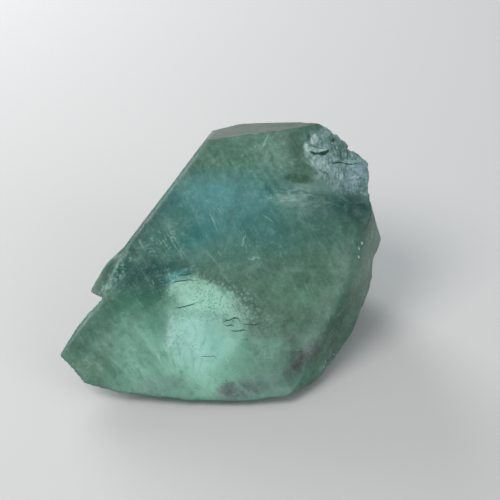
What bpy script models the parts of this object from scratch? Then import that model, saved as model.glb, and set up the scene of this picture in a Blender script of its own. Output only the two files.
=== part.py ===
"""Rough fluorite: one fragment split from a larger crystal, lying on a small flat spot.

The stone is described in the frame of its broad front cleavage face: x to the right,
y up the face, z out of it, so that the stone lies below z = 0. Every flank is a plane
given by the bearing of its outward side, its reach from the face centre and its lean,
which is 90 degrees for the face itself, 0 for a square side and negative for an
undercut one. Lengths are in millimetres until the finished mesh is scaled to metres.
"""
import math
import random

import bmesh
import bpy
from mathutils import Matrix, Vector

MM = 0.001
FACE_TILT = math.radians(46.0)      # the front face leans back from the ground
OCTAHEDRAL = math.degrees(math.asin(1 / 3))   # lean of a side that meets the face at 109.5
THICKNESS = 13.4                    # front face to the deepest part of the back
REST_DEPTH = 10.8                   # ground level below the centre of the front face
BLOCK = 30.0                        # half the block that every piece is cut from
SPLIT_TOP = 2.0                     # cutters for the front start this far above the face
ON_PLANE = 1e-5                     # a vertex this near a cutting plane lies on it
WELD = 0.002                        # vertices closer than this become one
SEED = 31

# bearing, reach, lean, depth below the front face at which the reach is measured
BODY = {
    "top": (97.4, 12.45, OCTAHEDRAL, 0.0),
    "top corner": (131.2, 13.84, -20.0, 0.0),
    "left": (143.4, 8.5, 9.0, 0.0),
    "left behind": (157.4, 12.4, -OCTAHEDRAL, 0.0),
    "right": (-10.4, 13.29, OCTAHEDRAL, 0.0),
    "right low": (-22.6, 12.76, OCTAHEDRAL, 0.0),
    "right roll": (-29.3, 12.45, 62.0, 0.0),
    "right roll outer": (-36.0, 13.5, 38.0, 0.5),
    "right low flank": (-38.0, 14.95, 5.0, 2.8),
    "right foot flank": (-60.5, 15.8, -OCTAHEDRAL, 0.0),
    "right under": (-20.0, 18.4, -24.0, 0.0),
    "right top": (60.7, 17.5, -4.5, 0.0),
    "right top flank": (46.0, 18.7, -12.0, 0.0),
    "right top behind": (50.0, 19.9, -36.0, 0.0),
    "right edge": (4.0, 15.15, 14.0, 0.0),
    "foot right": (-82.3, 14.05, -OCTAHEDRAL, 0.0),
    "foot": (-91.7, 13.76, -OCTAHEDRAL, 0.0),
    "foot left": (-96.1, 13.94, -26.0, 0.0),
    "tip under": (-133.6, 17.71, -36.0, 0.0),
    "tip behind": (-165.0, 17.9, -56.0, 0.0),
}

# pieces split off the body: the sides that bound each one, and its deepest and highest
# level; pieces that lie side by side overlap a little, to leave no film between them
SPLITS = {
    "top terrace": {
        "past": [(97.4, 8.4, OCTAHEDRAL, 0.0)],
        "levels": (-BLOCK, -8.5),
    },
    "top terrace low": {
        "past": [(97.4, 4.6, OCTAHEDRAL, 0.0)],
        "levels": (-BLOCK, -11.3),
    },
    "left terrace": {
        "past": [(157.4, 5.4, -OCTAHEDRAL, 0.0)],
        "levels": (-BLOCK, -10.2),
    },
    "right shoulder": {
        "past": [(45.0, 15.8, -10.0, 0.0)],
        "before": [(101.9, 3.56, -4.0, 0.0)],
        "levels": (-BLOCK, SPLIT_TOP),
    },
    "chip side": {
        "past": [(-4.0, 15.6, -20.0, 0.0), (101.9, 3.5, -4.0, 0.0)],
        "levels": (-BLOCK, SPLIT_TOP),
    },
    "left chamfer": {
        "past": [(152.9, 8.99, 32.0, 0.0), (63.6, -8.36, 0.0, 0.0)],
        "levels": (-BLOCK, SPLIT_TOP),
    },
    "left break": {
        "past": [(144.0, 7.44, -35.0, 0.0)],
        "before": [(63.6, -8.3, 0.0, 0.0)],
        "levels": (-BLOCK, SPLIT_TOP),
    },
}

# smaller pieces split off the front face and its chipped corner
CHIPS = {
    "face step": {
        "past": [(0.0, 5.0, 85.6, 0.0)],
        "before": [(95.0, 5.3, -40.0, 0.0)],
        "levels": (-BLOCK, SPLIT_TOP),
    },
    "corner chip": {
        "past": [(21.0, 12.61, 54.3, 0.0), (101.9, 8.2, 20.0, 0.0)],
        "levels": (-BLOCK, SPLIT_TOP),
    },
    "corner chip low": {
        "past": [(14.6, 11.88, 63.1, 0.0), (101.9, 4.06, 25.0, 0.0)],
        "levels": (-BLOCK, SPLIT_TOP),
    },
}

# shell-shaped fractures: centre of the rounded bite, its radius, and its stretch along
# x, y and z; the centre lies outside the stone, so that only a shallow cap is taken
SCOOPS = {
    "under the chip": ((12.4, 5.0, 4.8), 6.0, (1.4, 0.7, 1.0)),
    "under the chip edge": ((15.2, 5.0, 2.0), 4.5, (0.8, 0.6, 1.0)),
    "dish": ((8.3, 8.9, 8.75), 9.0, (1.0, 0.55, 1.0)),
    "dish side": ((7.0, 8.2, 6.85), 7.0, (0.9, 0.6, 1.0)),
    "chip hollow": ((14.9, 12.9, 1.6), 5.0, (1.0, 0.8, 1.0)),
    "chip hollow low": ((15.8, 8.2, 3.5), 6.0, (0.9, 0.8, 1.0)),
    "chip hollow inner": ((12.1, 13.4, 1.0), 3.0, (1.0, 1.0, 1.0)),
    "chip notch": ((10.6, 11.7, 0.2), 1.2, (1.2, 0.36, 1.0)),
    "low right": ((16.8, -10.4, 2.2), 7.0, (1.0, 1.0, 1.0)),
    "right scallop": ((17.6, 0.3, -7.0), 2.0, (1.0, 1.2, 1.0)),
    "right scallop low": ((16.7, -3.8, -7.2), 1.7, (1.0, 1.0, 1.0)),
    "foot notch": ((-6.2, -14.6, 0.6), 1.3, (1.0, 1.0, 1.0)),
    "back bowl": ((3.0, -0.5, -28.2), 16.0, (1.0, 0.8, 1.0)),
    "back bowl high": ((21.0, 14.5, -15.0), 10.5, (1.0, 1.0, 1.0)),
    "left bowl": ((-13.0, 7.5, -9.5), 6.5, (1.0, 1.0, 1.0)),
}

SCOOP_SIZES = (2.5, 5.0)            # past each of these radii a bite gets finer facets

# small nicks along the worn edges
NICK_SPACING = 3.0
NICK_RADIUS = (1.0, 2.4)
NICK_BITE = (0.06, 0.24)
SHARP_EDGE = math.radians(24.0)
SHORT_EDGE = 1.0                    # edges below this length get no nicks

# the underside round the flat spot: bearing on the ground, distance from the middle of
# the spot where each side starts, and its rise in degrees
SPOT = (3.0, 4.4)
UNDERSIDE = [
    (-92.0, 4.6, 4.6),
    (-150.0, 5.2, 3.4),
    (176.0, 6.2, 14.0),
    (128.0, 5.4, 21.0),
    (84.0, 4.4, 26.0),
    (32.0, 5.6, 17.0),
    (-12.0, 6.6, 11.0),
    (-52.0, 6.4, 8.0),
]


def plane(bearing, reach, lean, depth):
    """A point on a flank and the flank's outward direction."""
    across, rise = math.radians(bearing), math.radians(lean)
    side = Vector((math.cos(across), math.sin(across), 0.0))
    point = side * reach + Vector((0.0, 0.0, -depth))
    outward = side * math.cos(rise) + Vector((0.0, 0.0, math.sin(rise)))
    return point, outward


def far_side(bearing, reach, lean, depth):
    """The same flank, facing the other way, to keep what lies past it."""
    point, outward = plane(bearing, reach, lean, depth)
    return point, -outward


def slice_off(mesh, point, outward):
    """Cut away what lies outside a plane and close the cut with a flat face."""
    shell = mesh.verts[:] + mesh.edges[:] + mesh.faces[:]
    cut = bmesh.ops.bisect_plane(
        mesh, geom=shell, dist=ON_PLANE, plane_co=point, plane_no=outward, clear_outer=True)
    rim = [item for item in cut["geom_cut"] if isinstance(item, bmesh.types.BMEdge)]
    if rim:
        bmesh.ops.holes_fill(mesh, edges=rim, sides=0)


def add_object(name, mesh):
    data = bpy.data.meshes.new(name)
    mesh.to_mesh(data)
    mesh.free()
    thing = bpy.data.objects.new(name, data)
    bpy.context.scene.collection.objects.link(thing)
    return thing


def convex(name, planes, levels):
    """A block between two levels, cut down by each plane in turn."""
    mesh = bmesh.new()
    bmesh.ops.create_cube(mesh, size=2 * BLOCK)
    for vert in mesh.verts:
        vert.co.z = levels[1] if vert.co.z > 0 else levels[0]
    for point, outward in planes:
        slice_off(mesh, point, outward)
    bmesh.ops.recalc_face_normals(mesh, faces=mesh.faces[:])
    return add_object(name, mesh)


def bite_out(stone, cutter):
    """Take a cutter's shape out of the stone."""
    cutter.hide_render = True
    cutter.display_type = "WIRE"
    cut = stone.modifiers.new(cutter.name, "BOOLEAN")
    cut.operation = "DIFFERENCE"
    cut.solver = "EXACT"
    cut.object = cutter


def scoop(name, centre, radius, stretch):
    mesh = bmesh.new()
    fineness = 2 + sum(radius > size for size in SCOOP_SIZES)
    bmesh.ops.create_icosphere(mesh, subdivisions=fineness, radius=radius)
    bmesh.ops.scale(mesh, verts=mesh.verts, vec=stretch)
    bmesh.ops.translate(mesh, verts=mesh.verts, vec=centre)
    return add_object(name, mesh)


def drop_crumbs(stone):
    """Keep the stone alone, where a cut has freed a crumb of it."""
    mesh = bmesh.new()
    mesh.from_mesh(stone.data)
    waiting = set(mesh.verts)
    bodies = []
    while waiting:
        body = {waiting.pop()}
        rim = set(body)
        while rim:
            rim = {edge.other_vert(vert) for vert in rim for edge in vert.link_edges} - body
            body |= rim
        waiting -= body
        bodies.append(body)
    bodies.sort(key=len)
    for body in bodies[:-1]:
        bmesh.ops.delete(mesh, geom=list(body), context="VERTS")
    mesh.to_mesh(stone.data)
    mesh.free()


def apply_cuts(stone):
    """Keep the mesh as cut, and drop the cutters."""
    graph = bpy.context.evaluated_depsgraph_get()
    shaped = bpy.data.meshes.new_from_object(stone.evaluated_get(graph))
    cutters = [cut.object for cut in stone.modifiers]
    stone.modifiers.clear()
    stone.data = shaped
    for cutter in cutters:
        bpy.data.objects.remove(cutter, do_unlink=True)
    drop_crumbs(stone)


def split_piece(name, split):
    sides = [far_side(*flank) for flank in split["past"]]
    sides += [plane(*flank) for flank in split.get("before", [])]
    return convex(name, sides, split["levels"])


def split_body():
    """The body of the stone, with the larger pieces split off it."""
    planes = [plane(*flank) for flank in BODY.values()]
    stone = convex("rough_fluorite", planes, (-THICKNESS, 0.0))
    for name, split in SPLITS.items():
        bite_out(stone, split_piece(name, split))
    apply_cuts(stone)
    return stone


def chip_face(stone):
    """The step and the chipped corner of the face, and the shell-shaped fractures."""
    for name, split in CHIPS.items():
        bite_out(stone, split_piece(name, split))
    for name, (centre, radius, stretch) in SCOOPS.items():
        bite_out(stone, scoop(name, centre, radius, stretch))
    apply_cuts(stone)


def sharp_edges(stone):
    """Ends and outward direction of every sharp convex edge."""
    mesh = bmesh.new()
    mesh.from_mesh(stone.data)
    edges = []
    for edge in mesh.edges:
        if len(edge.link_faces) == 2 and edge.is_convex:
            if edge.calc_face_angle(0.0) > SHARP_EDGE and edge.calc_length() > SHORT_EDGE:
                outward = (edge.link_faces[0].normal + edge.link_faces[1].normal).normalized()
                edges.append((edge.verts[0].co.copy(), edge.verts[1].co.copy(), outward))
    mesh.free()
    return edges


def nick_edges(stone):
    """Small shell-shaped nicks, strewn along the sharp edges."""
    chance = random.Random(SEED)
    count = 0
    for start, end, outward in sharp_edges(stone):
        places = int((end - start).length / NICK_SPACING + chance.random())
        for place in range(places):
            along = (place + chance.uniform(0.15, 0.85)) / places
            radius = chance.uniform(*NICK_RADIUS)
            bite = chance.uniform(*NICK_BITE)
            centre = start.lerp(end, along) + outward * (radius - bite)
            count += 1
            nick = scoop(f"nick {count}", centre, radius, (1.0, 1.0, 1.0))
            bite_out(stone, nick)
    apply_cuts(stone)
    print("edge nicks:", count)


def settle(stone):
    """Turn the stone to the way it lies, cut its flat spot and scale it to metres."""
    mesh = bmesh.new()
    mesh.from_mesh(stone.data)
    bmesh.ops.remove_doubles(mesh, verts=mesh.verts[:], dist=WELD)
    bmesh.ops.rotate(mesh, verts=mesh.verts, matrix=Matrix.Rotation(FACE_TILT, 3, "X"))
    for bearing, reach, rise in UNDERSIDE:
        across, slope = math.radians(bearing), math.radians(rise)
        side = Vector((math.cos(across), math.sin(across), 0.0))
        start = Vector((*SPOT, -REST_DEPTH)) + side * reach
        slice_off(mesh, start, side * math.sin(slope) - Vector((0.0, 0.0, math.cos(slope))))
    slice_off(mesh, (0, 0, -REST_DEPTH), (0, 0, -1))
    low = [min(vert.co[i] for vert in mesh.verts) for i in range(3)]
    high = [max(vert.co[i] for vert in mesh.verts) for i in range(3)]
    centre = Vector(((low[0] + high[0]) / 2, (low[1] + high[1]) / 2, low[2]))
    bmesh.ops.translate(mesh, verts=mesh.verts, vec=-centre)
    bmesh.ops.scale(mesh, verts=mesh.verts, vec=(MM, MM, MM))
    bmesh.ops.recalc_face_normals(mesh, faces=mesh.faces[:])
    mesh.to_mesh(stone.data)
    mesh.free()
    print("face centre lies at", tuple(round(-place, 3) for place in centre), "mm")


def fluorite():
    material = bpy.data.materials.new("fluorite")
    material.use_nodes = True
    shader = material.node_tree.nodes["Principled BSDF"]
    shader.inputs["Base Color"].default_value = (0.16, 0.36, 0.30, 1.0)
    shader.inputs["Roughness"].default_value = 0.35
    shader.inputs["Metallic"].default_value = 0.0
    shader.inputs["IOR"].default_value = 1.434
    shader.inputs["Transmission Weight"].default_value = 0.7
    return material


def main():
    for thing in list(bpy.data.objects):
        bpy.data.objects.remove(thing, do_unlink=True)
    stone = split_body()
    nick_edges(stone)
    chip_face(stone)
    settle(stone)
    stone.data.materials.append(fluorite())


main()
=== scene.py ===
import math
import random

import bmesh
import bpy
from mathutils import Matrix, Vector, noise
from mathutils.kdtree import KDTree


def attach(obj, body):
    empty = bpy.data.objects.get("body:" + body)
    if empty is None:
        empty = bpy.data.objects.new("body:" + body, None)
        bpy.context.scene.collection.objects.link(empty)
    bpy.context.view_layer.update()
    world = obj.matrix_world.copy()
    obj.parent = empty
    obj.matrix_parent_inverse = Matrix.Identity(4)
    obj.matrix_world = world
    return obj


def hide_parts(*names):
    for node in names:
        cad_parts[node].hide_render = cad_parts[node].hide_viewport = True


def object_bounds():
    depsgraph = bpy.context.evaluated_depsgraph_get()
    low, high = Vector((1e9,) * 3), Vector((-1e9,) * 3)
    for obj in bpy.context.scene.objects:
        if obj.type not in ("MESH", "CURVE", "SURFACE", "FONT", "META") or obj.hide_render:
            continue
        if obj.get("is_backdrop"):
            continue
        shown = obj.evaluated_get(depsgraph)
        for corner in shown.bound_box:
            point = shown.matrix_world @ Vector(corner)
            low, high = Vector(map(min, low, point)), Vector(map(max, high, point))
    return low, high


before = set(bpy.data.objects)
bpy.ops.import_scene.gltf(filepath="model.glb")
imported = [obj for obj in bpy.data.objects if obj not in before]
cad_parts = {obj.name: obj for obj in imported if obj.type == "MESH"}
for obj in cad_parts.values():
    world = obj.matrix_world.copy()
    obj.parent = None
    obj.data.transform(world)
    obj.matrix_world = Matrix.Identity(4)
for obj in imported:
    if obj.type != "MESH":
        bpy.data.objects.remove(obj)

cadLow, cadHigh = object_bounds()

# The front face has its own frame: x to the right, y up the face, z out of it, in millimetres.
# Colour zones, cracks and scratches are placed there, and the part's frame is reached by a turn and a shift.
face = {
    "turn": Matrix.Rotation(math.radians(46.0), 3, "X"),
    "centre": Vector((-0.518, -3.772, 10.8)),
    "mm": 0.001,
}

stone = {
    "weld": 1e-6,              # metres within which two corners of the solid are one
    "octree": 8,               # cells of the fine mesh, as a power of two
    "fill": 0.55,              # share of that grid that the stone takes
    "mendRounds": 4,
    "rollPasses": 200,         # smoothing of the soft right side of the face
    "rollRight": 8.5,          # that side lies right of here, in face mm
    "rollBelow": 4.6,          # and below here
    "rollFront": -4.2,         # and in front of here
    "rollOffGround": 1.0,      # and this far off the ground
    "edgePasses": 3,           # smoothing passes that the worn edges are blended towards
    "edgeLeast": 0.35,         # least and most of that blend
    "edgeMost": 1.0,
    "edgeRate": 0.8,           # how often the wear changes along an edge, per mm
    "wornFull": 0.04,          # mm off an edge that give it the full colour of wear
    "proud": 0.06,             # mm that make up for what the smoothing takes off
    "swell": (0.05, 0.16),     # height in mm and frequency per mm of the slow waves on the faces
    "ripple": (0.02, 0.55),
    "grain": (0.010, 1.7),
    "groundSkin": 0.15,        # mm above the ground that stay as they are
}


def toFace(point):
    return face["turn"].transposed() @ (point / face["mm"] - face["centre"])


def fineMesh(node):
    work = bmesh.new()
    work.from_mesh(node.data)
    bmesh.ops.remove_doubles(work, verts=work.verts[:], dist=stone["weld"])
    rough = bpy.data.meshes.new("roughCopy")
    work.to_mesh(rough)
    work.free()
    block = bpy.data.objects.new("roughBlock", rough)
    bpy.context.scene.collection.objects.link(block)
    cells = block.modifiers.new("cells", "REMESH")
    cells.mode = "SHARP"
    cells.octree_depth = stone["octree"]
    cells.scale = stone["fill"]
    cells.sharpness = 1.0
    graph = bpy.context.evaluated_depsgraph_get()
    fine = bpy.data.meshes.new_from_object(block.evaluated_get(graph))
    bpy.data.objects.remove(block, do_unlink=True)
    bpy.data.meshes.remove(rough)
    return fine


def mendTouches(work):
    # where two sheets of the fine mesh touch along an edge, open both and close them apart
    for _ in range(stone["mendRounds"]):
        verts = [vert for vert in work.verts if any(len(edge.link_faces) != 2 for edge in vert.link_edges)]
        if not verts:
            break
        bmesh.ops.delete(work, geom=verts, context="VERTS")
        rims = [edge for edge in work.edges if len(edge.link_faces) == 1]
        bmesh.ops.holes_fill(work, edges=rims, sides=0)


def relax(work, verts, passes):
    axes = {"use_axis_x": True, "use_axis_y": True, "use_axis_z": True}
    for _ in range(passes):
        bmesh.ops.smooth_vert(work, verts=verts, factor=0.5, **axes)


def softenRoll(work):
    # the right side of the face rolls over without an edge
    roll = []
    for vert in work.verts:
        place = toFace(vert.co)
        rightLow = place.x > stone["rollRight"] and place.y < stone["rollBelow"]
        offGround = vert.co.z > stone["rollOffGround"] * face["mm"]
        if rightLow and offGround and place.z > stone["rollFront"]:
            roll.append(vert)
    relax(work, roll, stone["rollPasses"])


def wearEdges(work):
    # blend towards a smoothed copy: flat faces stay, sharp edges lose a varying amount
    work.normal_update()
    sharp = [(vert.co.copy(), vert.normal.copy()) for vert in work.verts]
    relax(work, work.verts[:], stone["edgePasses"])
    worn = work.verts.layers.float.new("worn")
    for vert, (corner, out) in zip(work.verts, sharp):
        chance = 0.5 + 0.5 * noise.noise(toFace(corner) * stone["edgeRate"])
        share = stone["edgeLeast"] + (stone["edgeMost"] - stone["edgeLeast"]) * chance
        vert[worn] = min(1.0, abs((vert.co - corner).dot(out)) / face["mm"] / stone["wornFull"])
        vert.co = corner.lerp(vert.co, share)


def splitNear(work, wanted):
    marked = {vert for vert in work.verts if wanted(vert)}
    edges = [edge for edge in work.edges if edge.verts[0] in marked and edge.verts[1] in marked]
    bmesh.ops.subdivide_edges(work, edges=edges, cuts=1, use_grid_fill=True)


# The chipped corner, in face mm. Pairs are an amount in mm and a frequency per mm.
chip = {
    "middle": Vector((12.6, 10.2, -1.5)),
    "reach": 4.6,
    "squash": Vector((1.0, 0.85, 0.6)),
    "soft": 1.0,
    "ragged": (0.7, 0.6),
    "slantFrom": Vector((8.0, 10.6, 0.0)),      # it ends along a slanting line to its lower left
    "slantOut": Vector((0.745, 0.667, 0.0)),
    "slantSoft": 0.8,
    "slantRagged": (0.4, 1.1),
    "low": 6.7,                                 # and at this height
    "lowSoft": 0.9,
    "lowRagged": (0.5, 0.9),
    "coarse": (0.22, 0.60),                     # the height of its facets
    "middling": (0.17, 1.5),
    "grit": (0.07, 4.0),
    "facetSeam": 0.15,                          # share of a facet that slopes down to its neighbours
}


def stray(place, amount, rate):
    return amount * noise.noise(place * rate)


def chipShare(place):
    reach = ((place - chip["middle"]) * chip["squash"]).length + stray(place, *chip["ragged"])
    slant = (place - chip["slantFrom"]).dot(chip["slantOut"]) + stray(place, *chip["slantRagged"])
    low = place.y - chip["low"] + stray(place, *chip["lowRagged"])
    shares = (chip["reach"] - reach) / chip["soft"], slant / chip["slantSoft"], low / chip["lowSoft"]
    return max(0.0, min(1.0, *shares))


def facets(place, rate):
    # flat-sided lumps: each cell of a Voronoi pattern is a small tilted plane, and all meet at the same level
    gaps, spots = noise.voronoi(place * rate)
    tilt = noise.cell_vector(spots[0] * 5.3) * 2 - Vector((1, 1, 1))
    rise = (place * rate - spots[0]).dot(tilt) + noise.cell(spots[0] * 3.7) * 0.5
    return max(-1.0, min(1.0, rise)) * min(1.0, (gaps[1] - gaps[0]) / chip["facetSeam"])


# soft lumps that stand out of the surface: middle, reach and height in face mm
lumps = {
    "chip shoulder": (Vector((13.4, 12.0, -2.9)), 3.4, 0.14),
    "chip top": (Vector((11.2, 13.2, -1.8)), 2.0, 0.20),
    "left flake": (Vector((-12.0, -1.2, -1.8)), 2.6, 0.30),
    "left flake top": (Vector((-10.8, 0.1, -1.2)), 2.2, 0.30),
    "left edge": (Vector((-14.4, -6.2, -0.8)), 4.0, 0.25),
    "left foot": (Vector((-13.2, -12.4, -0.4)), 3.2, 0.25),
}


def roughenFaces(work):
    chipped = work.verts.layers.float.new("chipped")
    work.normal_update()
    moved = []
    for vert in work.verts:
        place = toFace(vert.co)
        rise = stone["proud"]
        for wave in (stone["swell"], stone["ripple"], stone["grain"]):
            rise += stray(place, *wave)
        for middle, reach, height in lumps.values():
            rise += height * max(0.0, 1 - (place - middle).length_squared / reach ** 2) ** 2
        share = chipShare(place)
        vert[chipped] = share
        if share > 0:
            for height, rate in (chip["coarse"], chip["middling"], chip["grit"]):
                rise += share * height * facets(place, rate)
        if vert.co.z > stone["groundSkin"] * face["mm"]:
            moved.append((vert, vert.co + vert.normal * rise * face["mm"]))
    for vert, spot in moved:
        vert.co = spot


# lines cut into the surface: what they are, depth and half-width in mm, then the points that they run through
cuts = {
    "upper crack": ("crack", 0.16, 0.060, [
        (-4.2, -1.5), (-3.9, -1.32), (-3.5, -1.30), (-3.1, -1.18), (-2.8, -1.2)]),
    "second crack": ("crack", 0.18, 0.065, [
        (-4.9, -2.2), (-4.2, -1.92), (-3.7, -1.9), (-3.2, -1.82), (-2.0, -1.88)]),
    "third crack": ("crack", 0.18, 0.065, [
        (-4.6, -4.65), (-4.0, -4.58), (-3.0, -4.34), (-2.5, -4.12), (-2.0, -4.05)]),
    "eye top": ("crack", 0.20, 0.085, [
        (0.2, -6.1), (0.7, -5.85), (1.0, -5.82), (1.4, -5.6), (1.8, -5.68), (2.2, -6.05)]),
    "eye tail": ("crack", 0.12, 0.050, [(2.2, -6.05), (2.6, -6.3), (3.4, -6.28), (4.4, -6.05)]),
    "eye foot": ("crack", 0.16, 0.060, [
        (0.9, -6.72), (1.3, -6.93), (1.8, -6.92), (2.2, -6.8), (2.8, -6.82)]),
    "eye middle": ("crack", 0.12, 0.060, [(0.3, -6.2), (0.7, -6.38), (1.1, -6.30), (1.5, -6.45)]),
    "foot crack": ("crack", 0.08, 0.045, [
        (-2.0, -9.5), (-1.6, -9.4), (-1.1, -9.45), (-0.6, -9.35), (-0.2, -9.65)]),
    "left crack": ("crack", 0.04, 0.035, [(-8.6, -3.8), (-7.6, -3.2), (-6.6, -2.9), (-5.6, -2.3)]),
    "chip gap": ("gap", 0.40, 0.20, [(9.0, 11.2), (9.6, 11.0), (10.4, 11.12), (11.2, 11.6)]),
    "chip gap end": ("gap", 0.20, 0.22, [(10.0, 11.1), (10.6, 11.28), (11.1, 11.6)]),
    "chip lip line": ("crack", 0.08, 0.050, [(8.5, 12.1), (9.2, 11.85), (10.1, 11.72), (11.0, 11.75)]),
    "chip crack lip": ("scratch", 0.08, 0.14, [(12.6, 10.62), (13.2, 10.56), (13.9, 10.6), (14.3, 10.8)]),
    "chip column": ("scratch", 0.08, 0.08, [(11.75, 9.9), (11.8, 9.4), (11.75, 8.9)]),
    "chip column two": ("crack", 0.08, 0.05, [(12.0, 9.9), (12.05, 9.2), (12.0, 8.6)]),
    "chip column three": ("crack", 0.08, 0.05, [(12.6, 10.0), (12.55, 9.4), (12.65, 8.8)]),
    "chip glint": ("glint", 0.10, 0.10, [(11.35, 12.5), (11.5, 12.42)]),
    "chip glint two": ("glint", 0.08, 0.06, [(11.95, 12.2), (11.9, 11.8)]),
    "chip glint three": ("glint", 0.08, 0.07, [(13.9, 9.0), (14.1, 8.8)]),
    "chip crack": ("crack", 0.30, 0.080, [
        (11.0, 10.15), (11.6, 10.2), (12.1, 10.35), (12.9, 10.2), (13.6, 10.22), (14.4, 10.55)]),
    "chip rib": ("crack", 0.12, 0.060, [(12.1, 12.2), (12.3, 11.4), (12.5, 10.6)]),
    "chip rib two": ("crack", 0.12, 0.060, [(12.9, 12.0), (13.1, 11.3), (13.0, 10.7)]),
    "chip lip": ("scratch", 0.06, 0.12, [(8.5, 11.85), (9.2, 11.45), (10.1, 11.62), (11.2, 12.1)]),
    "chip streak": ("scratch", 0.08, 0.13, [
        (8.5, 11.1), (9.5, 10.6), (10.3, 10.0), (10.8, 9.3), (11.1, 8.7)]),
    "chip streak two": ("scratch", 0.08, 0.10, [(9.1, 10.5), (9.7, 9.8), (10.0, 9.2)]),
    "dish foot": ("scratch", 0.03, 0.12, [(7.9, 7.45), (8.5, 7.35)]),
    "smear line": ("scratch", 0.03, 0.10, [(8.8, 6.9), (9.5, 6.65)]),
    "smear line two": ("scratch", 0.03, 0.08, [(10.3, 6.15), (11.2, 6.1)]),
    "long scratch": ("scratch", 0.05, 0.07, [(-5.5, 3.2), (-4.7, 1.9), (-3.9, 0.7), (-3.6, 0.2)]),
    "long scratch beside": ("scratch", 0.05, 0.06, [(-5.1, 3.3), (-4.2, 1.7), (-3.4, 0.3)]),
    "middle scratch": ("scratch", 0.03, 0.06, [(-1.2, 5.2), (-0.6, 3.9), (-0.2, 2.9)]),
    "bent scratch": ("scratch", 0.04, 0.07, [(2.6, 2.9), (2.3, 2.2), (2.2, 1.4)]),
    "top tick": ("scratch", 0.04, 0.07, [(4.1, 11.4), (4.5, 12.3), (4.9, 13.0)]),
    "sparkle": ("glint", 0.10, 0.13, [(14.35, 2.25), (14.5, 1.95)]),
    "sparkle two": ("glint", 0.10, 0.11, [(14.0, 1.65), (14.15, 1.40)]),
    "sparkle three": ("glint", 0.08, 0.10, [(13.95, 0.85), (14.1, 0.55)]),
    "ring": ("scratch", 0.06, 0.09, [(2.8, 0.5), (2.9, 0.3), (3.2, 0.25), (3.4, 0.5), (3.2, 0.6)]),
}

# short fine scratches strewn over the face, in mm and degrees
strewn = {
    "seed": 7,
    "scratches": 13,
    "across": (-8, 9),         # where they start
    "up": (-3, 11),
    "bearing": (-78, -48),
    "turned": (0, 0, 0, 25),   # one in four is turned further
    "length": (0.6, 2.0),
    "bend": 0.1,
    "depth": 0.022,
    "deeper": (0.6, 1.5),      # times that depth
    "halfWidth": 0.06,
}

cutting = {
    # each round splits the mesh within a margin of the lines of these kinds, up to a half-width
    "rounds": [
        (0.22, 1.00, ("crack", "gap", "scratch", "glint")),
        (0.09, 0.10, ("crack", "scratch")),
        (0.05, 0.07, ("crack",)),
    ],
    "facing": 0.2,             # how far a vertex has to face out of the front to be cut
    "step": 0.15,              # mm between the places that are searched along a line
    "reach": 1.5,              # half-widths that are searched to its sides
    "wander": (0.05, 2.5),     # mm that a line strays, and how often per mm
    "wanderSeed": 7,
    "uneven": (0.45, 1.8),     # share of its width that varies, and how often per mm
    "ends": 4,                 # its ends thin out over the length divided by this
    "taper": 0.6,              # and by this power
    "fill": 1.4,               # how fast its colour fills in from its sides
}


def strewScratches():
    chance = random.Random(strewn["seed"])
    bend = strewn["bend"]
    lines = []
    for _ in range(strewn["scratches"]):
        start = Vector((chance.uniform(*strewn["across"]), chance.uniform(*strewn["up"]), 0))
        bearing = math.radians(chance.uniform(*strewn["bearing"]) + chance.choice(strewn["turned"]))
        run = Vector((math.cos(bearing), math.sin(bearing), 0)) * chance.uniform(*strewn["length"])
        aside = Vector((chance.uniform(-bend, bend), chance.uniform(-bend, bend), 0))
        depth = strewn["depth"] * chance.uniform(*strewn["deeper"])
        lines.append(("scratch", depth, strewn["halfWidth"], [start, start + run / 2 + aside, start + run]))
    return lines


def frontTree(work):
    # the vertices that face out of the front, laid flat, for finding what lies near a line
    out = face["turn"] @ Vector((0, 0, 1))
    work.verts.ensure_lookup_table()
    work.normal_update()
    front = [vert for vert in work.verts if vert.normal.dot(out) > cutting["facing"]]
    tree = KDTree(len(front))
    for index, vert in enumerate(front):
        place = toFace(vert.co)
        tree.insert(Vector((place.x, place.y, 0)), index)
    tree.balance()
    return tree, front


def offLine(place, points):
    # distance from a line, and how far along it, from 0 to 1
    nearest = (math.inf, 0.0)
    for index, (start, end) in enumerate(zip(points, points[1:])):
        run = end - start
        share = max(0.0, min(1.0, (place - start).dot(run) / run.length_squared))
        along = (index + share) / (len(points) - 1)
        nearest = min(nearest, ((place - start - run * share).length, along))
    return nearest


def vertsNear(tree, points, reach):
    found = {}
    for start, end in zip(points, points[1:]):
        steps = int((end - start).length / cutting["step"]) + 1
        for step in range(steps + 1):
            for spot, index, _ in tree.find_range(start.lerp(end, step / steps), reach):
                found[index] = spot
    return found


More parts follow.
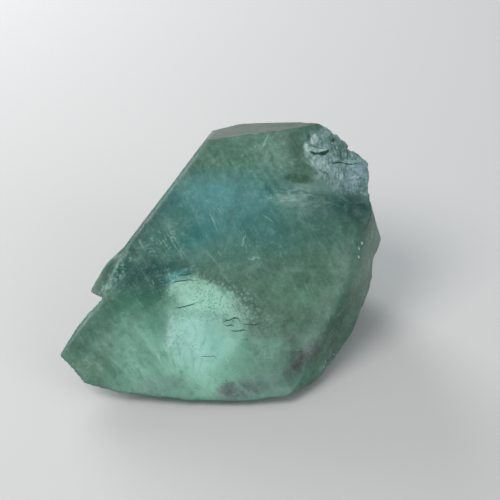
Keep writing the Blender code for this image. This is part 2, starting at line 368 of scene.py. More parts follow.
def inciseLines(work):
    kinds = ("crack", "gap", "scratch", "glint")
    layers = {kind: work.verts.layers.float.new(kind) for kind in kinds}
    lines = []
    for kind, depth, half, points in cuts.values():
        lines.append((kind, depth, half, [Vector((x, y, 0)) for x, y in points]))
    lines += strewScratches()
    for margin, widest, splitKinds in cutting["rounds"]:
        tree, front = frontTree(work)
        near = set()
        for kind, _, half, points in lines:
            if kind in splitKinds and half <= widest:
                near |= {front[index] for index in vertsNear(tree, points, half + margin)}
        splitNear(work, lambda vert: vert in near)
    tree, front = frontTree(work)
    inward = -(face["turn"] @ Vector((0, 0, 1)))
    strayed, strayRate = cutting["wander"]
    noise.seed_set(cutting["wanderSeed"])     # noise_vector would start from the clock without it
    for kind, depth, half, points in lines:
        mark = layers[kind]
        for index, spot in vertsNear(tree, points, half * cutting["reach"]).items():
            gap, along = offLine(spot + noise.noise_vector(spot * strayRate) * strayed, points)
            taper = min(1.0, cutting["ends"] * min(along, 1 - along)) ** cutting["taper"]
            wide = half * taper * (1 + stray(spot, *cutting["uneven"]))
            if gap < wide:
                share = 1 - gap / wide
                front[index].co += inward * depth * taper * share * face["mm"]
                front[index][mark] = max(front[index][mark], min(1.0, share * cutting["fill"]))
    print("lines cut:", len(lines))


topFacet = {
    "out": Vector((-0.1214, 0.9350, 0.3333)),   # in the face's frame
    "height": 11.74,                            # mm along that direction
    "margin": 0.40,
    "facing": 0.6,                              # how far a vertex has to face that way, and over what range
    "facingSpan": 0.3,
}


def markTop(work):
    # the top facet, by where it lies and which way it looks; its grey tone is painted light and shade
    onTop = work.verts.layers.float.new("onTop")
    work.normal_update()
    back = face["turn"].transposed()
    for vert in work.verts:
        high = toFace(vert.co).dot(topFacet["out"]) - topFacet["height"]
        steep = ((back @ vert.normal).dot(topFacet["out"]) - topFacet["facing"]) / topFacet["facingSpan"]
        vert[onTop] = max(0.0, min(1.0, steep)) if high > -topFacet["margin"] else 0.0


def holdInBox(work):
    # nothing stands past the solid's own box
    for vert in work.verts:
        for axis in range(3):
            vert.co[axis] = max(cadLow[axis], min(cadHigh[axis], vert.co[axis]))


def buildStone():
    fine = fineMesh(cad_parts["rough_fluorite"])
    work = bmesh.new()
    work.from_mesh(fine)
    mendTouches(work)
    print("fine mesh:", len(work.faces), "faces")
    softenRoll(work)
    wearEdges(work)
    print("edges worn")
    splitNear(work, lambda vert: chipShare(toFace(vert.co)) > 0)
    roughenFaces(work)
    print("faces and chipped corner roughened")
    inciseLines(work)
    markTop(work)
    holdInBox(work)
    bmesh.ops.triangulate(work, faces=work.faces[:])
    work.to_mesh(fine)
    work.free()
    piece = bpy.data.objects.new("fluoriteStone", fine)
    bpy.context.scene.collection.objects.link(piece)
    fine.shade_smooth()
    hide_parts("rough_fluorite")
    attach(piece, "root")
    print("stone:", len(fine.polygons), "triangles")
    return piece


class Wire:
    # wraps one output socket of a node, so that shader maths reads as maths
    def __init__(self, socket):
        self.socket = socket
        self.tree = socket.id_data

    @staticmethod
    def add(tree, kind, settings=None, sockets=None, output=0):
        node = tree.nodes.new(kind)
        for name, value in (settings or {}).items():
            setattr(node, name, value)
        for name, value in (sockets or {}).items():
            if isinstance(value, Wire):
                tree.links.new(value.socket, node.inputs[name])
            else:
                node.inputs[name].default_value = value
        return Wire(node.outputs[output]) if node.outputs else None

    def twin(self, output):
        # another output of the same node
        return Wire(self.socket.node.outputs[output])

    def maths(self, operation, *values):
        return Wire.add(self.tree, "ShaderNodeMath", {"operation": operation}, dict(enumerate(values)))

    def __add__(self, other):
        return self.maths("ADD", self, other)

    __radd__ = __add__

    def __sub__(self, other):
        return self.maths("SUBTRACT", self, other)

    def __rsub__(self, other):
        return self.maths("SUBTRACT", other, self)

    def __mul__(self, other):
        return self.maths("MULTIPLY", self, other)

    __rmul__ = __mul__

    def __pow__(self, other):
        return self.maths("POWER", self, other)

    def __abs__(self):
        return self.maths("ABSOLUTE", self)

    def least(self, other):
        return self.maths("MINIMUM", self, other)

    def most(self, other):
        return self.maths("MAXIMUM", self, other)

    def ramp(self, low, high, start=0.0, end=1.0):
        sockets = {"Value": self, "From Min": low, "From Max": high, "To Min": start, "To Max": end}
        return Wire.add(self.tree, "ShaderNodeMapRange", {"interpolation_type": "SMOOTHSTEP"}, sockets)

    def vector(self, operation, other=None, output=0):
        sockets = {0: self}
        if other is not None:
            sockets["Scale" if operation == "SCALE" else 1] = other
        return Wire.add(self.tree, "ShaderNodeVectorMath", {"operation": operation}, sockets, output)

    def tint(self, colour, share, blend="MIX"):
        settings = {"data_type": "RGBA", "blend_type": blend, "clamp_factor": True}
        colour = (*colour, 1.0) if isinstance(colour, tuple) else colour
        return Wire.add(self.tree, "ShaderNodeMix", settings, {0: share, 6: self, 7: colour}, 2)


# Colour zones are in face mm: a colour, then middle x and y, half-width, half-height, turn in degrees,
# softness and raggedness, and last how strongly the colour is laid on.
shades = {
    "body": (0.110, 0.230, 0.155),
    "zones": {
        "teal": ((0.080, 0.290, 0.285), (0.0, 5.2, 8.0, 4.3, 16, 0.6, 0.9), 0.95),
        "teal deep": ((0.025, 0.190, 0.185), (-4.4, 5.0, 2.0, 4.6, -38, 0.8, 0.9), 0.8),
        "teal foot": ((0.000, 0.185, 0.172), (-3.0, 2.2, 2.6, 1.2, 25, 0.8, 0.9), 0.7),
        "teal right": ((0.035, 0.220, 0.215), (4.6, 3.6, 2.8, 1.8, -35, 0.7, 0.9), 0.8),
        "teal light": ((0.110, 0.365, 0.365), (-0.6, 6.9, 3.0, 1.3, -12, 0.9, 0.8), 0.85),
        "upper mark": ((0.010, 0.110, 0.095), (3.7, 9.6, 1.3, 0.22, -28, 0.8, 0.5), 0.5),
        "upper mark two": ((0.010, 0.110, 0.095), (4.9, 7.4, 1.8, 0.16, -52, 0.9, 0.4), 0.5),
        "middle mark": ((0.010, 0.120, 0.090), (2.3, 1.4, 1.1, 0.14, 78, 0.9, 0.4), 0.5),
        "middle": ((0.095, 0.245, 0.185), (2.5, 0.2, 4.2, 1.8, 0, 0.8, 0.9), 0.7),
        "middle shade": ((0.050, 0.180, 0.140), (9.5, 3.2, 5.5, 2.2, 0, 0.8, 0.9), 0.75),
        "upper green": ((0.105, 0.245, 0.170), (1.0, 11.6, 8.5, 2.3, 5, 0.6, 0.8), 0.85),
        "upper left": ((0.055, 0.185, 0.120), (0.2, 11.3, 2.4, 1.5, 20, 0.8, 0.8), 0.6),
        "upper pale": ((0.240, 0.425, 0.330), (5.8, 11.2, 2.0, 1.7, 30, 0.9, 0.9), 0.75),
        "left rim": ((0.000, 0.075, 0.050), (-8.7, 1.2, 4.4, 0.65, 53, 0.9, 0.5), 0.85),
        "left green": ((0.062, 0.200, 0.148), (-6.4, 1.6, 3.6, 1.9, 50, 0.7, 0.9), 0.75),
        "left shade": ((0.000, 0.092, 0.078), (-7.0, -1.5, 3.6, 2.0, 12, 0.6, 0.8), 1.0),
        # painted light: the lighter lower part of the face is light that comes through the thin foot of the
        # stone, painted into the base colour
        "foot": ((0.270, 0.540, 0.405), (-4.5, -10.4, 12.0, 5.2, -3, 0.45, 0.7), 0.95),
        "left slope": ((0.020, 0.185, 0.110), (-8.4, -4.4, 3.8, 1.8, 14, 0.8, 0.9), 0.85),
        "slope foot": ((0.110, 0.270, 0.200), (-10.2, -6.4, 1.8, 1.2, 10, 0.8, 0.9), 0.5),
        "tip": ((0.085, 0.205, 0.140), (-13.8, -8.2, 2.4, 2.8, -40, 0.9, 0.6), 0.85),
        "tip shade": ((0.130, 0.280, 0.200), (-11.2, -9.6, 2.2, 1.6, -20, 0.9, 0.9), 0.8),
        "tip foot": ((0.080, 0.200, 0.110), (-12.8, -10.6, 2.0, 1.2, -30, 0.8, 0.8), 0.6),
        # painted light: foot light two, foot light, left shaft and foot patch are lit spots and streaks in
        # the foot
        "foot light two": ((0.420, 0.820, 0.640), (-7.6, -10.0, 2.0, 1.3, -20, 0.8, 0.9), 0.5),
        "foot light": ((0.390, 0.720, 0.560), (-8.4, -9.0, 1.8, 1.2, -20, 0.8, 0.9), 0.60),
        "left shaft": ((0.350, 0.700, 0.540), (-6.6, -8.6, 1.5, 3.6, 38, 0.7, 0.9), 0.6),
        "foot right": ((0.280, 0.470, 0.365), (5.0, -10.0, 4.0, 2.8, 10, 0.7, 0.8), 0.75),
        "foot grey": ((0.270, 0.450, 0.390), (-5.0, -12.0, 3.0, 1.0, 0, 0.8, 0.8), 0.6),
        "foot patch": ((0.400, 0.740, 0.600), (-0.2, -11.4, 1.4, 0.8, 10, 0.7, 0.9), 0.50),
        # painted light: the glow zones, the heart and its rim, the lobe, the fold and glow cyan paint the
        # bright patch and its highlights into the base colour; glow shade, fold shade and glow side are
        # painted shade that dims that painted light
        "glow": ((0.460, 0.860, 0.660), (-1.7, -7.6, 3.6, 4.8, 8, 0.40, 0.9), 0.9),
        "glow right": ((0.250, 0.560, 0.420), (2.3, -8.3, 1.2, 0.9, 10, 0.8, 0.9), 0.35),
        "glow head": ((0.560, 0.940, 0.740), (-1.2, -3.6, 3.6, 1.45, -22, 0.35, 1.1), 0.95),
        "glow heart": ((0.600, 1.000, 0.890), (-2.2, -7.9, 2.5, 2.9, 14, 0.8, 0.8), 0.95),
        "heart right": ((0.340, 0.800, 0.640), (-0.5, -7.6, 0.9, 1.8, 8, 0.8, 0.8), 0.6),
        "heart rim": ((0.700, 1.000, 0.930), (-4.9, -6.9, 0.38, 1.6, -4, 0.5, 0.8), 0.8),
        "glow waist": ((0.330, 0.640, 0.520), (-2.4, -5.2, 2.2, 0.38, -4, 0.8, 0.8), 0.6),
        "glow shade": ((0.170, 0.400, 0.300), (1.9, -10.2, 1.8, 1.0, 10, 0.8, 0.8), 0.6),
        "fold": ((0.560, 0.960, 0.780), (-6.7, -8.7, 0.22, 2.1, 36, 0.7, 0.5), 0.6),
        "fold shade": ((0.120, 0.300, 0.220), (-7.6, -8.6, 0.8, 2.2, 36, 0.8, 0.8), 0.4),
        "glow lobe": ((0.480, 0.930, 0.740), (0.9, -7.1, 1.5, 1.0, -20, 0.5, 0.8), 0.8),
        "glow cyan": ((0.060, 0.360, 0.340), (-4.3, -1.35, 1.1, 0.45, 15, 0.7, 0.9), 0.75),
        "glow side": ((0.090, 0.310, 0.215), (-6.2, -5.9, 1.0, 1.7, 10, 0.7, 0.8), 0.85),
        "ghost arc": ((0.260, 0.440, 0.320), (9.3, -2.0, 0.16, 0.9, 8, 0.8, 0.8), 0.6),
        "right green": ((0.160, 0.340, 0.220), (6.8, -4.2, 3.4, 2.6, 10, 0.8, 0.9), 0.75),
        "right pale": ((0.135, 0.265, 0.175), (10.6, -2.0, 2.2, 2.4, 20, 0.8, 0.9), 0.7),
        # painted shade: right low dims the painted light of the foot there
        "right low": ((0.120, 0.190, 0.150), (7.7, -8.4, 2.1, 1.2, 38, 0.8, 0.9), 0.75),
        "right band": ((0.180, 0.290, 0.210), (9.6, -6.0, 0.9, 3.0, -14, 0.9, 0.8), 0.75),
        # painted shade: right shade and right flank darken the right side of the face where it rolls away
        # from the light
        "right shade": ((0.005, 0.045, 0.020), (12.0, -6.6, 1.5, 3.9, -28, 0.95, 0.6), 0.85),
        "right flank": ((0.050, 0.105, 0.068), (14.6, -7.2, 1.6, 6.6, -24, 0.7, 0.6), 0.92),
        "right foot": ((0.040, 0.070, 0.048), (9.8, -11.9, 2.8, 1.8, 35, 0.8, 0.8), 0.85),
        "purple foot": ((0.220, 0.150, 0.220), (0.9, -12.9, 1.0, 0.8, 0, 0.8, 0.8), 0.75),
        "purple foot two": ((0.180, 0.170, 0.195), (2.6, -12.7, 1.0, 0.8, 10, 0.9, 0.8), 0.8),
        "purple foot three": ((0.190, 0.260, 0.245), (4.9, -12.1, 2.6, 1.0, 10, 0.9, 0.8), 0.75),
        "side foot": ((0.050, 0.110, 0.080), (7.7, -11.4, 1.3, 0.8, 20, 0.8, 0.8), 0.7),
        "purple ledge": ((0.050, 0.055, 0.045), (9.4, -9.0, 3.0, 1.0, 22, 0.9, 0.8), 0.8),
        "purple side": ((0.070, 0.022, 0.040), (8.2, -9.6, 2.1, 0.6, 46, 0.9, 1.6), 0.80),
        "olive side": ((0.075, 0.175, 0.105), (8.2, 10.0, 1.4, 1.6, 20, 0.7, 0.7), 0.75),
        "chip side": ((0.040, 0.125, 0.080), (7.7, 11.9, 0.7, 1.9, 8, 0.8, 0.9), 0.7),
        "right middle": ((0.060, 0.180, 0.115), (8.2, -0.9, 2.2, 1.5, 0, 0.8, 0.9), 0.4),
        "olive": ((0.010, 0.085, 0.030), (8.05, 8.45, 1.5, 0.48, -8, 0.30, 0.5), 0.95),
        "olive foot": ((0.280, 0.480, 0.390), (8.8, 7.5, 1.3, 0.30, -4, 0.9, 0.9), 0.6),
        "chip fade": ((0.230, 0.400, 0.390), (11.8, 7.4, 2.4, 0.8, 0, 0.9, 0.8), 0.75),
        "rim pale": ((0.170, 0.250, 0.200), (14.6, 5.9, 0.5, 1.0, 10, 0.8, 1.2), 0.7),
        "fade left": ((0.130, 0.290, 0.240), (11.0, 6.3, 1.6, 1.0, 0, 0.8, 0.8), 0.6),
        "chip smear": ((0.430, 0.640, 0.590), (7.2, 6.3, 1.6, 0.5, -6, 0.9, 0.9), 0.8),
        # painted shade: the dark band under the ledge of the chipped corner
        "under chip": ((0.012, 0.110, 0.100), (13.0, 5.7, 2.9, 1.35, 0, 0.6, 0.6), 0.97),
    },
    # the same inside the chipped corner: its grey-blue and pale zones are partly the frosted fracture's own
    # colour and partly painted sheen, the light that its facets reflect
    "chipZones": {
        "fade": ((0.230, 0.390, 0.380), (12.0, 8.2, 1.9, 0.7, 0, 0.7, 0.8), 0.85),
        "fade middle": ((0.360, 0.600, 0.590), (12.3, 8.6, 0.9, 0.8, 0, 0.7, 0.8), 0.6),
        "fade shade": ((0.090, 0.220, 0.160), (9.9, 8.6, 0.9, 0.7, 0, 0.7, 0.8), 0.8),
        "blue rough": ((0.430, 0.600, 0.690), (13.8, 9.1, 1.3, 1.2, -10, 0.6, 0.9), 0.9),
        "dark green": ((0.130, 0.250, 0.210), (12.6, 11.9, 1.7, 0.8, -35, 0.6, 0.9), 0.85),
        "dark patch": ((0.010, 0.080, 0.055), (11.4, 12.8, 0.45, 0.28, -20, 0.5, 0.9), 0.9),
        "dark patch two": ((0.010, 0.080, 0.055), (12.5, 11.1, 0.40, 0.50, 10, 0.5, 0.9), 0.85),
        "dark patch three": ((0.020, 0.090, 0.065), (8.8, 12.75, 0.28, 0.50, 0, 0.5, 0.8), 0.85),
        "rim shade": ((0.080, 0.190, 0.170), (14.7, 7.4, 0.8, 1.3, 0, 0.6, 1.2), 0.8),
        "dark left": ((0.060, 0.160, 0.120), (8.1, 12.2, 0.35, 1.3, -5, 0.8, 0.7), 0.8),
        "hollow": ((0.080, 0.230, 0.150), (10.2, 9.5, 0.32, 0.6, 30, 0.6, 0.5), 0.9),
        "pale slope": ((0.520, 0.720, 0.700), (9.9, 10.2, 0.60, 1.7, 44, 0.5, 0.8), 0.85),
        "pale facet": ((0.850, 1.000, 0.960), (9.50, 12.42, 0.32, 0.70, -4, 0.10, 0.10), 1.0),
        "lens": ((0.700, 0.940, 0.880), (9.5, 11.55, 1.40, 0.30, 4, 0.15, 0.15), 0.95),
        "lens end": ((0.700, 0.940, 0.880), (8.8, 11.65, 0.45, 0.42, 0, 0.20, 0.2), 0.95),
        "low shade": ((0.005, 0.075, 0.070), (13.2, 6.3, 3.2, 0.9, 0, 0.6, 0.6), 0.95),
    },
    # painted light and shade: the top facet gets its own dark grey-green, a tone that comes from how light
    # falls on it edge-on
    "topFacet": (0.026, 0.054, 0.026),
    # painted shade: the thin left edge strip is painted dark
    "leftEdge": (0.004, 0.074, 0.048),
    "abradedHighlight": (0.420, 0.740, 0.640),
    # the chipped corner's ground and pale tints: partly its frosted fracture, partly painted sheen
    "chip": (0.290, 0.460, 0.465),
    "chipPale": (0.800, 0.950, 0.960),
    "chipDark": (0.040, 0.100, 0.095),
    "edge": (0.240, 0.480, 0.420),
    "crack": (0.012, 0.060, 0.045),
    "gap": (0.020, 0.095, 0.060),
    "scratch": (0.480, 0.720, 0.660),
    "speck": (0.070, 0.230, 0.170),
    # painted highlight: the near-white laid on the glint and sparkle lines
    "glint": (0.960, 1.000, 0.990),
}

# areas that the fine markings keep to, in the same form without colour and strength
areas = {
    # painted glow: where the bright patch is painted, light that comes through the thin lower part of the
    # stone
    "painted glow": (-1.4, -6.6, 4.6, 5.4, 5, 0.4, 0.9),
    "feathered": (-3.8, -9.0, 3.0, 2.4, 20, 0.7, 0.8),
    "low": (-4.0, -10.0, 9.5, 5.5, 0, 0.4, 0.6),
    "mottled top": (4.6, 10.6, 4.2, 3.0, 10, 0.6, 0.8),
    "brushed top": (3.8, 11.0, 4.6, 2.6, 10, 0.6, 0.8),
    "left scuffs": (-5.8, 2.0, 3.0, 1.3, 30, 0.7, 0.9),
    "right scuffs": (3.6, 1.4, 2.2, 1.2, 0, 0.8, 0.9),
    "smeared": (7.6, 6.5, 2.6, 1.0, -4, 0.7, 0.8),
    "salted": (-0.4, -4.0, 5.0, 2.2, -22, 0.5, 0.9),
    "salted left": (-4.2, -6.6, 0.9, 2.4, -10, 0.6, 0.9),
    "peppered": (0.0, -4.2, 3.6, 1.6, -25, 0.5, 0.8),
    "peppered side": (7.9, -9.7, 2.4, 1.3, 42, 0.5, 0.8),
    "scraped and lit": (-10.6, -1.6, 3.2, 0.55, 52, 0.7, 0.6),
    "left edge": (-6.0, 6.0, 9.0, 7.5, 0, 0.3, 0.2),
    "right side": (13.5, -5.0, 3.5, 12.0, -12, 0.4, 0.3),
    "under chip": (12.6, 5.6, 4.2, 2.2, 0, 0.4, 0.3),
    "foot side": (9.2, -10.6, 2.4, 2.8, 0, 0.4, 0.3),
    "sloped": (9.9, 10.1, 0.8, 1.9, 44, 0.6, 0.8),
    "pillared": (12.0, 9.4, 0.9, 1.0, 0, 0.6, 0.6),
}

# the noise behind the fine markings: turned in degrees, then stretched and shifted
grains = {
    "cloud": {"scale": 0.45, "detail": 4.0, "rough": 0.6},
    "veil": {"scale": 0.8, "detail": 4.0, "rough": 0.6, "distortion": 0.5,
             "turn": -48, "stretch": (0.35, 1.2)},
    "patch": {"scale": 0.30, "detail": 3.0, "rough": 0.6},
    "mottle": {"scale": 1.6, "detail": 6.0, "rough": 0.70},
    "brush": {"scale": 1.1, "detail": 5.0, "rough": 0.7, "distortion": 0.3,
              "turn": -60, "stretch": (0.16, 2.0)},
    "break": {"scale": 0.9, "detail": 3.0, "rough": 0.6},
    "smear": {"scale": 1.7, "detail": 4.0, "rough": 0.65, "distortion": 0.4, "stretch": (0.8, 2.4)},
    "flake": {"scale": 3.2, "detail": 2.0, "rough": 0.6},
    "salt": {"scale": 3.4, "detail": 4.0, "rough": 0.65},
    "pepper": {"scale": 5.0, "detail": 2.0, "rough": 0.5},
    "scrape": {"scale": 1.8, "detail": 5.0, "rough": 0.7},
    "dull": {"scale": 0.5, "detail": 4.0, "rough": 0.6},
    "dust": {"scale": 4.0, "detail": 4.0, "rough": 0.65},
    "crushed": {"scale": 1.2, "detail": 5.0, "rough": 0.7},
    "hollow": {"scale": 1.1, "detail": 5.0, "rough": 0.7, "shift": (9.0, 4.0, 2.0)},
    "grit": {"scale": 3.0, "detail": 3.0, "rough": 0.7, "stretch": (1.6, 0.7)},
    "strand": {"scale": 1.3, "detail": 4.0, "rough": 0.6, "distortion": 0.3,
               "turn": -50, "stretch": (0.3, 2.2)},
    "column": {"scale": 1.6, "detail": 3.0, "rough": 0.6, "stretch": (2.4, 0.45)},
}

# between which values of that noise its pale parts come in and its dark parts fade out
bounds = {
    "cloud": {"pale": (0.50, 0.75), "dark": (0.30, 0.60)},
    "fan": {"pale": (0.52, 0.66), "dark": (0.35, 0.52)},
    "veil": {"pale": (0.52, 0.70), "dark": (0.34, 0.54)},
    "patch": {"pale": (0.40, 0.62)},
    "mottle": {"pale": (0.54, 0.70), "dark": (0.36, 0.54)},
    "brush": {"pale": (0.52, 0.72), "dark": (0.30, 0.46)},
    "break": {"pale": (0.46, 0.60)},
    "smear": {"pale": (0.52, 0.62), "dark": (0.38, 0.50)},
    "flake": {"pale": (0.60, 0.70)},
    "salt": {"pale": (0.52, 0.64), "dark": (0.36, 0.48)},
    "pepper": {"pale": (0.56, 0.66)},
    "scrape": {"pale": (0.50, 0.60)},
    "crushed": {"pale": (0.52, 0.64)},
    "hollow": {"pale": (0.50, 0.62)},
    "grit": {"pale": (0.56, 0.68), "dark": (0.38, 0.50)},
    "strand": {"pale": (0.48, 0.58), "dark": (0.36, 0.44)},
    "column": {"pale": (0.52, 0.62), "dark": (0.40, 0.50)},
}

# how each marking is laid over what lies below it: colour, strength and blend
coats = {
    "cloud dark": ((0.50, 0.60, 0.57), 0.40, "MULTIPLY"),
    "cloud pale": ((0.50, 0.74, 0.66), 0.16, "MIX"),
    "fan dark": ((0.45, 0.60, 0.56), 0.55, "MULTIPLY"),
    "fan pale": ((0.62, 1.00, 0.88), 0.22, "MIX"),
    "veil dark": ((0.58, 0.66, 0.63), 0.55, "MULTIPLY"),
    "veil pale": ((0.42, 0.78, 0.62), 0.35, "MIX"),
    "mottle dark": ((0.42, 0.52, 0.50), 1.0, "MULTIPLY"),
    "mottle pale": ((0.50, 0.70, 0.64), 1.0, "MIX"),
    "brush pale": ((0.36, 0.58, 0.54), 1.0, "MIX"),
    "brush dark": ((0.50, 0.58, 0.56), 1.0, "MULTIPLY"),
    "hairline": (shades["scratch"], 0.5, "MIX"),
    "smear pale": (shades["scratch"], 0.5, "MIX"),
    "smear dark": ((0.45, 0.60, 0.55), 0.6, "MULTIPLY"),
    "flake": (shades["scratch"], 0.30, "MIX"),
    "salt pale": ((0.62, 1.00, 0.92), 0.55, "MIX"),
    "salt dark": ((0.50, 0.66, 0.60), 1.0, "MULTIPLY"),
    "pepper": (shades["speck"], 0.5, "MIX"),
    "pepper side": (shades["speck"], 0.6, "MIX"),
    "left edge": (shades["leftEdge"], 1.0, "MIX"),
    "scrape": (shades["abradedHighlight"], 0.65, "MIX"),
    "top facet shade": (shades["topFacet"], 0.9, "MIX"),
    "hollow": (shades["chipDark"], 0.55, "MIX"),
    "crushed": (shades["chipPale"], 0.35, "MIX"),
    "column dark": (shades["chipDark"], 0.6, "MIX"),
    "column pale": (shades["chipPale"], 0.5, "MIX"),
    "strand pale": (shades["chipPale"], 0.8, "MIX"),
    "strand dark": (shades["gap"], 0.5, "MIX"),
    "grit dark": ((0.32, 0.40, 0.42), 0.65, "MULTIPLY"),
    "grit pale": (shades["chipPale"], 0.4, "MIX"),
    "worn edge": (shades["edge"], 0.4, "MIX"),
    "scratch": (shades["scratch"], 0.45, "MIX"),
    "gap": (shades["gap"], 0.85, "MIX"),
    "crack": (shades["crack"], 0.8, "MIX"),
    "glint": (shades["glint"], 0.9, "MIX"),
}

fluorite = {
    "warpScale": 0.3,                          # the slow noise that frays the borders of zones and areas
    "warp": 1.6,
    "fanFrom": (-3.0, -14.2),                  # face mm
    "fanSpread": 8.0,                          # streaks by angle and by distance from there
    "fanRun": 0.30,
    "hairlines": [                             # turn in degrees, scale and width
        (-58, 1.1, 0.020),
        (-72, 0.8, 0.014),
        (48, 0.7, 0.012),
        (-5, 0.6, 0.010),
    ],
    "hairlineStretch": (0.10, 1.0),
    "leftEdgeOut": Vector((-0.803, 0.596, 0.0)),
    "leftEdgeBand": (8.25, 8.70),              # mm along that direction
    "topEdgeBand": (topFacet["height"] - 0.9, topFacet["height"] - 0.4),
    "spared": {"right side": 0.8, "under chip": 0.9, "foot side": 0.8, "top edge": 0.7},  # from pale wear
    "dull": (0.26, 0.42),                      # roughness of the faces, and what is added to it
    "dullChip": 0.12,
    "dullWorn": 0.08,
    "dullTop": 0.12,
    "dullLeftEdge": 0.25,
    "bumpStrength": 0.5,
    "bumpHeight": 0.00006,                     # metres
    "ior": 1.434,
    "transmission": 0.58,
    "absorbColour": (0.45, 0.80, 0.68, 1.0),
    "absorbDensity": 45.0,
}


def facePlaces(tree):
    place = Wire.add(tree, "ShaderNodeTexCoord", output="Object").vector("SCALE", 1 / face["mm"])
    place = place.vector("SUBTRACT", face["centre"])
    sockets = {"Vector": place, "Angle": -face["turn"].to_euler().x}
    return Wire.add(tree, "ShaderNodeVectorRotate", {"rotation_type": "X_AXIS"}, sockets)


def turnedPlaces(place, x, y, turn):
    sockets = {"Vector": place.vector("SUBTRACT", Vector((x, y, 0.0))), "Angle": math.radians(-turn)}
    return Wire.add(place.tree, "ShaderNodeVectorRotate", {"rotation_type": "Z_AXIS"}, sockets)


def zone(place, x, y, wide, high, turn, soft, ragged, warp):
    flat = turnedPlaces(place, x, y, turn).vector("MULTIPLY", Vector((1 / wide, 1 / high, 0.0)))
    reach = flat.vector("LENGTH", output="Value")
    return 1 - (reach + warp * ragged).ramp(1 - soft, 1 + soft)


def pastBand(place, out, start, end):
    return place.vector("DOT_PRODUCT", out, "Value").ramp(start, end)


def texture(place, scale, detail, rough, distortion=0.0, turn=None, stretch=None, shift=None):
    if turn is not None:
        place = turnedPlaces(place, 0, 0, turn)
    if stretch:
        place = place.vector("MULTIPLY", Vector((*stretch, 1.0)))
    if shift:
        place = place.vector("ADD", Vector(shift))
    sockets = {"Vector": place, "Scale": scale, "Detail": detail, "Roughness": rough}
    sockets["Distortion"] = distortion
    return Wire.add(place.tree, "ShaderNodeTexNoise", {}, sockets, "Fac")


def hairlines(place, turn, scale, width):
    # thin lines along one bearing, where a drawn-out noise crosses its middle value
    drawn = texture(place, scale, 2.0, 0.5, 0.2, turn, fluorite["hairlineStretch"])
    return 1 - abs(drawn - 0.5).ramp(0.0, width)


def fanStreaks(place):
    # streaks that spread upwards from one point, as the feathering in the bright patch does; that patch is
    # painted light
    start = Vector((*fluorite["fanFrom"], 0.0))
    across = Wire.add(place.tree, "ShaderNodeSeparateXYZ", {}, {0: place.vector("SUBTRACT", start)}, "X")
    along = across.twin("Y")
    angle = across.maths("ARCTAN2", across, along)
    reach = (across * across + along * along) ** 0.5
    sockets = {"X": angle * fluorite["fanSpread"], "Y": reach * fluorite["fanRun"]}
    return texture(Wire.add(place.tree, "ShaderNodeCombineXYZ", {}, sockets), 1.3, 4.0, 0.6, 0.4)


def pale(grain, name):
    return grain[name].ramp(*bounds[name]["pale"])


def dark(grain, name):
    return 1 - grain[name].ramp(*bounds[name]["dark"])


def lay(colour, coat, share):
    shade, strength, blend = coats[coat]
    return colour.tint(shade, share * strength, blend)


def zonedColour(place, warp, shade, zones):
    colour = Wire.add(place.tree, "ShaderNodeRGB")
    colour.socket.default_value = (*shade, 1.0)
    for tone, size, strength in zones.values():
        colour = colour.tint(tone, zone(place, *size, warp) * strength)
    return colour


def insideMarkings(colour, grain, area):
    # what shows inside the crystal: clouds, the feathering of the bright patch, which is painted light, veils
    # in the foot, mottling
    plain = 1 - area["painted glow"] * 0.4
    colour = lay(colour, "cloud dark", dark(grain, "cloud") * plain)
    colour = lay(colour, "cloud pale", pale(grain, "cloud"))
    colour = lay(colour, "fan dark", area["feathered"] * dark(grain, "fan"))
    colour = lay(colour, "fan pale", area["feathered"] * pale(grain, "fan"))
    colour = lay(colour, "veil dark", dark(grain, "veil") * area["low"] * (1 - area["painted glow"]))
    colour = lay(colour, "veil pale", pale(grain, "veil") * area["low"])
    patchy = pale(grain, "patch")
    mottled = 0.25 + patchy * 0.3 + area["mottled top"] * 0.25
    colour = lay(colour, "mottle dark", dark(grain, "mottle") * mottled * plain)
    colour = lay(colour, "mottle pale", pale(grain, "mottle") * (0.12 + area["mottled top"] * 0.22))
    brushed = 0.10 + patchy * 0.18 + area["brushed top"] * 0.06
    colour = lay(colour, "brush pale", pale(grain, "brush") * brushed)
    return lay(colour, "brush dark", dark(grain, "brush") * (plain * 0.45 + area["brushed top"] * 0.1))


def faceMarkings(colour, place, grain, area):
    # what lies on the face: hairlines, the smear beside the chipped corner, flakes, pale and dark specks
    scuffed = (0.20 + area["left scuffs"] * 0.8 + area["right scuffs"] * 0.5).least(1.0)
    broken = pale(grain, "break")
    for turn, scale, width in fluorite["hairlines"]:
        colour = lay(colour, "hairline", hairlines(place, turn, scale, width) * broken * scuffed)
    colour = lay(colour, "smear pale", pale(grain, "smear") * area["smeared"])
    colour = lay(colour, "smear dark", dark(grain, "smear") * area["smeared"])
    colour = lay(colour, "flake", pale(grain, "flake") * scuffed)
    salted = area["salted"].most(area["salted left"])
    colour = lay(colour, "salt pale", pale(grain, "salt") * salted)
    colour = lay(colour, "salt dark", dark(grain, "salt") * (0.15 + salted * 0.6))
    colour = lay(colour, "pepper", pale(grain, "pepper") * area["peppered"])
    colour = lay(colour, "pepper side", pale(grain, "pepper") * area["peppered side"])
    # painted shade along the thin left edge
    colour = lay(colour, "left edge", area["left edge"])
    # partly painted highlight: the pale scraped strip along the left edge is worn and also stands in for the
    # light that edge catches
    return lay(colour, "scrape", area["scraped and lit"] * pale(grain, "scrape"))


def chipMarkings(colour, grain, area):
    colour = lay(colour, "hollow", pale(grain, "hollow"))
    colour = lay(colour, "crushed", pale(grain, "crushed"))
    colour = lay(colour, "column dark", dark(grain, "column") * area["pillared"])
    colour = lay(colour, "column pale", pale(grain, "column") * area["pillared"])
    colour = lay(colour, "strand pale", pale(grain, "strand") * area["sloped"])
    colour = lay(colour, "strand dark", dark(grain, "strand") * area["sloped"])
    colour = lay(colour, "grit dark", dark(grain, "grit"))
    return lay(colour, "grit pale", pale(grain, "grit"))


